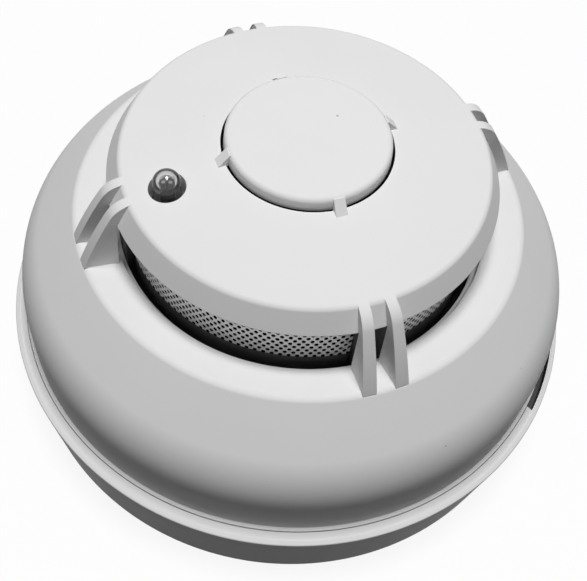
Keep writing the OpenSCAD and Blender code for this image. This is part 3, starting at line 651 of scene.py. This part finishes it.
top_line = [(r, face_z(r)) for r in PATCH_LINES]
under_line = [(r, z - CAP_T) for r, z in reversed(top_line)]
cap_inside = [(33.42, 54.15), (32.22, 56.33)]
well = [(WELL_R, face_z(WELL_R) - CAP_T), (WELL_R, WELL_LOW), (STEM_HOLE_R, WELL_LOW),
        (STEM_HOLE_R, WELL_FLOOR), (BUTTON_HOLE_R, WELL_FLOOR)]
lathe(cover, [(BUTTON_HOLE_R, face_z(BUTTON_HOLE_R)), *top_line, (CAP_R, CAP_Z), CAP_LOW, *cap_inside,
              *under_line, *well])
round_ring(cover, CAP_R, CAP_Z, width=0.6, segments=6)
round_ring(cover, *CAP_LOW, width=0.2, segments=2)
round_ring(cover, BUTTON_HOLE_R, face_z(BUTTON_HOLE_R), width=0.15, segments=2)


def beside_lamp(spot):
    return beside(spot, LAMP_R, LAMP_ANGLE, PATCH_REACH, PATCH_HALF) and spot.z > PATCH_LOW * MM


cap_skins = (face_z, lambda r: face_z(r) - CAP_T)
lamp_rim = pierce(cover, beside_lamp, LAMP_HOLE_R, 0, LAMP_R, LAMP_ANGLE, cap_skins)
ease(cover, lamp_rim, LAMP_HOLE_EASE, 2)
collar = [(COLLAR_RADII[0], COLLAR_HEIGHTS[0]), (COLLAR_RADII[0], COLLAR_HEIGHTS[1]),
          (COLLAR_RADII[1], COLLAR_HEIGHTS[1]), (COLLAR_RADII[1], COLLAR_HEIGHTS[0])]
lathe(cover, collar, (LAMP_X, LAMP_Y), LAMP_STEPS)

# Outlines of a fin, with a front in two arcs, and of a rib that reaches over the button's rounded edge.
fin_front = [*arc((32.33, 53.25), 5.33, 82.8, 32, 10), *arc((-24.71, 17.60), 72.6, 31, 22, 6)]
fin = [(32.2, 58.64), *fin_front, (42.0, 43.6), (36.3, 42.0), (35.6, 54.6), (32.9, 57.15)]
rib_tip = [*arc((13.93, 62.1), 0.87, 0, 48, 4), (14.62, 62.82), (14.78, 62.80)]
rib = [(15.05, 58.75), (15.05, 60.4), *rib_tip, (17.0, 60.4), (17.0, 59.5), (15.8, 58.75)]
for angle in QUARTERS:
    slab(cover, fin, FIN_T, FIN_DRAFT, angle - FIN_SPREAD, FIN_EASE)
    slab(cover, fin, FIN_T, FIN_DRAFT, angle + FIN_SPREAD, FIN_EASE)
    slab(cover, rib, RIB_W, RIB_DRAFT, angle, RIB_EASE)
cover_moulding = piece(cover, "cover_moulding", "head", white_plastic, "outer_cover")

# Indicator lamp: a cap of clear resin with a round nose that looks out of its hole in the cover.
# Its round hollow holds a dark core and the bright tips of the lead frame.
# Two steel legs are cast into its flange and stand on the board.
LAMP_D = 5.0
NOSE_Z = 60.45
NOSE_TOP = NOSE_Z + LAMP_D / 2
FLANGE_Z = 53.45
FLANGE_R = 2.9
FLANGE_TOP = FLANGE_Z + 1
HOLLOW_R = 1.43
CORE_STEPS = 32
CORE_R = 1.25
CORE_LOW = 53.5
CORE_HIGH = 58.4
CORE_TOP = 58.6
LEG_W = 0.5
LEG_SPREAD = 1.27
LEG_TOP = 54.0
TIP_W = 0.6
TIP_SPREAD = 0.6
TIP_LOW = 58.0
TIP_HIGH = 60.7
TIP_TURN = -64
lamp_place = (LAMP_X, LAMP_Y)


def clear_resin(s):
    flow = s.noise(2, 2)
    return {"Base Color": (*grey(0.60), 1), "Roughness": 0.02 + flow * 0.04, "IOR": 1.5,
            "Transmission Weight": 1.0, "Normal": s.bump(flow, 0.01)}


lens = bmesh.new()
nose = arc((0, NOSE_Z), LAMP_D / 2, 90, 0, 16)[1:]
hollow = arc((0, NOSE_Z), HOLLOW_R, 0, 90, 12)[:-1]
flange = [(LAMP_D / 2, FLANGE_TOP), (FLANGE_R, FLANGE_TOP), (FLANGE_R, FLANGE_Z), (HOLLOW_R, FLANGE_Z)]
lens_line = [(0, NOSE_TOP), *nose, *flange, *hollow, (0, NOSE_Z + HOLLOW_R)]
lathe(lens, lens_line, lamp_place, LAMP_STEPS, closed=False)
lamp_lens = piece(lens, "lamp_lens", "head", finish("clear resin", clear_resin), "indicator_led")

leads = bmesh.new()
for turn, spread, width, low, high in ((LAMP_ANGLE, LEG_SPREAD, LEG_W, BOARD_TOP, LEG_TOP),
                                       (TIP_TURN, TIP_SPREAD, TIP_W, TIP_LOW, TIP_HIGH)):
    for side in (-1, 1):
        leg = bmesh.ops.create_cube(leads, size=1)["verts"]
        bmesh.ops.scale(leads, verts=leg, vec=(width * MM, width * MM, (high - low) * MM))
        bmesh.ops.translate(leads, verts=leg, vec=(0, side * spread * MM, (high + low) / 2 * MM))
        bmesh.ops.rotate(leads, verts=leg, matrix=upright_turn(turn))
bmesh.ops.translate(leads, verts=leads.verts, vec=(LAMP_X * MM, LAMP_Y * MM, 0))
lamp_leads = piece(leads, "lamp_leads", "head", tin_plate, "indicator_led")

core = bmesh.new()
core_line = [(0, CORE_LOW), (CORE_R, CORE_LOW), (CORE_R, CORE_HIGH), (0, CORE_TOP)]
lathe(core, core_line, lamp_place, CORE_STEPS, closed=False)
lamp_core = piece(core, "lamp_core", "head", seal_rubber, "indicator_led")

# Test button: a white moulded cup with a softly rounded edge, on a stem through the cap's well.
# A steel pin in the stem dips into the chamber, and a split ring in a groove keeps the stem in.
BUTTON_STEPS = 180
BUTTON_R = 14.75
BUTTON_FOOT_R = 14.95
BUTTON_TOP = 62.95
BUTTON_SIDE_LOW = 60.4
BUTTON_LOW = 58.85
BUTTON_EASE = 0.85
CUP_R = 13.2
CUP_TOP = 61.35
STEM_R = 2.4
STEM_LOW = 53.0
GROOVE_R = 1.7
GROOVE_HEIGHTS = (54.25, 54.85)
PIN_HOLE_R = 0.68
PIN_HOLE_TOP = 57.0
button = bmesh.new()
disc = [(0, BUTTON_TOP), (BUTTON_R, BUTTON_TOP), (BUTTON_FOOT_R, BUTTON_SIDE_LOW),
        (BUTTON_FOOT_R, BUTTON_LOW), (CUP_R, BUTTON_LOW), (CUP_R, CUP_TOP)]
stem = [(STEM_R, CUP_TOP), (STEM_R, GROOVE_HEIGHTS[1]), (GROOVE_R, GROOVE_HEIGHTS[1]),
        (GROOVE_R, GROOVE_HEIGHTS[0]), (STEM_R, GROOVE_HEIGHTS[0]), (STEM_R, STEM_LOW)]
pin_hole = [(PIN_HOLE_R, STEM_LOW), (PIN_HOLE_R, PIN_HOLE_TOP), (0, PIN_HOLE_TOP)]
lathe(button, [*disc, *stem, *pin_hole], steps=BUTTON_STEPS, closed=False)
round_ring(button, BUTTON_R, BUTTON_TOP, BUTTON_EASE, 6)
button_moulding = piece(button, "button_moulding", "button", white_plastic, "test_button")
dress(plated_steel, "scatter_pin", "retaining_ring")

# Return spring: four turns of steel wire between the well's floor and the button.
# It shortens towards the floor of the well as the button goes in.
WIRE_R = 0.3
WIRE_SIDES = 10
COIL_R = 5.5
COIL_LOW = 57.25
COIL_HIGH = 61.03
COIL_TURNS = 4
TURN_STEPS = 32
coil = bmesh.new()
wire = bmesh.ops.create_circle(coil, cap_ends=True, radius=WIRE_R * MM, segments=WIRE_SIDES)["verts"]
bmesh.ops.rotate(coil, verts=wire, matrix=Matrix.Rotation(math.radians(90), 3, "X"))
bmesh.ops.translate(coil, verts=wire, vec=(COIL_R * MM, 0, COIL_LOW * MM))
coil_steps = COIL_TURNS * TURN_STEPS
coil_rise = (COIL_HIGH - COIL_LOW) / coil_steps * MM
bmesh.ops.spin(coil, geom=coil.verts[:] + coil.edges[:] + coil.faces[:], cent=(0, 0, 0), axis=(0, 0, 1),
               dvec=(0, 0, coil_rise), angle=math.tau * COIL_TURNS, steps=coil_steps)
spring_coil = piece(coil, "spring_coil", "head", plated_steel, "return_spring")
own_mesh(spring_coil)

# Studio: a pale floor, a soft lamp overhead and a weak fill from all round. Sizes are in metres.
# The camera stands where the photograph was taken from.
FLOOR_HALF = 3.0
FLOOR_GLOW = 0.9
SOFTBOX = 0.32
SOFTBOX_WATTS = 6.55
SOFTBOX_PLACE = (0.009, -0.025, 0.9)
AMBIENT = 0.09
CAMERA_LENS = 57.02
CAMERA_SENSOR = 36
CAMERA_NEAR = 0.01
CAMERA_ELEVATION = 55.71
CAMERA_DISTANCE = 0.19987
CAMERA_TURN = 19.85
CAMERA_PAN = -0.22
CAMERA_TILT = -0.45
CAMERA_ROLL = 7.11
AIM_HEIGHT = 0.0168


def seen_directly(s):
    """1 for the camera's own rays and for what glossy and clear surfaces show, 0 for light that spreads."""
    camera_ray, glossy_ray, clear_ray = (s.node("ShaderNodeLightPath", {}, {}, name) for name in
                                         ("Is Camera Ray", "Is Glossy Ray", "Is Transmission Ray"))
    return (camera_ray + glossy_ray + clear_ray) > 0.5


def pale_floor():
    """White where it is seen directly, with a faint shadow. It throws little light back on the part."""
    material = bpy.data.materials.new("pale floor")
    material.use_nodes = True
    tree = material.node_tree
    tree.nodes.remove(tree.nodes["Principled BSDF"])
    s = Shade(tree)
    lit = s.node("ShaderNodeBsdfDiffuse", {}, {"Color": (*grey(0.98), 1)})
    white = s.node("ShaderNodeEmission", {}, {"Color": (*grey(1), 1), "Strength": 1.0})
    dim = s.node("ShaderNodeBsdfDiffuse", {}, {"Color": (*grey(0.03), 1)})
    shown = s.node("ShaderNodeMixShader", {}, {0: FLOOR_GLOW, 1: lit, 2: white})
    surface = s.node("ShaderNodeMixShader", {}, {0: seen_directly(s), 1: dim, 2: shown})
    tree.links.new(surface.socket, tree.nodes["Material Output"].inputs["Surface"])
    return material


ground = bmesh.new()
bmesh.ops.create_grid(ground, x_segments=1, y_segments=1, size=FLOOR_HALF)
ground_mesh = bpy.data.meshes.new("floor")
ground.to_mesh(ground_mesh)
ground.free()
ground_mesh.materials.append(pale_floor())
floor = bpy.data.objects.new("floor", ground_mesh)
bpy.context.scene.collection.objects.link(floor)

softbox = bpy.data.lights.new("softbox", "AREA")
softbox.shape = "DISK"
softbox.size = SOFTBOX
softbox.energy = SOFTBOX_WATTS
softbox_object = bpy.data.objects.new("softbox", softbox)
softbox_object.location = SOFTBOX_PLACE
bpy.context.scene.collection.objects.link(softbox_object)

world = bpy.data.worlds.new("white room")
world.use_nodes = True
background = world.node_tree.nodes["Background"]
background.inputs["Color"].default_value = (*grey(1), 1)
strength = AMBIENT + seen_directly(Shade(world.node_tree)) * (1 - AMBIENT)
world.node_tree.links.new(strength.socket, background.inputs["Strength"])
bpy.context.scene.world = world
bpy.context.scene.view_settings.view_transform = "Standard"

elevation = math.radians(CAMERA_ELEVATION)
camera_back = -CAMERA_DISTANCE * math.cos(elevation)
camera_up = AIM_HEIGHT + CAMERA_DISTANCE * math.sin(elevation)
camera = bpy.data.cameras.new("camera")
camera.lens = CAMERA_LENS
camera.sensor_width = CAMERA_SENSOR
camera.clip_start = CAMERA_NEAR
camera_object = bpy.data.objects.new("camera", camera)
camera_object.matrix_world = (
    Matrix.Rotation(math.radians(CAMERA_TURN), 4, "Z") @ Matrix.Translation((0, camera_back, camera_up))
    @ Matrix.Rotation(math.pi / 2 - elevation, 4, "X") @ Matrix.Rotation(math.radians(CAMERA_PAN), 4, "Y")
    @ Matrix.Rotation(math.radians(CAMERA_TILT), 4, "X")
    @ Matrix.Rotation(math.radians(CAMERA_ROLL), 4, "Z"))
bpy.context.scene.collection.objects.link(camera_object)
bpy.context.scene.camera = camera_object
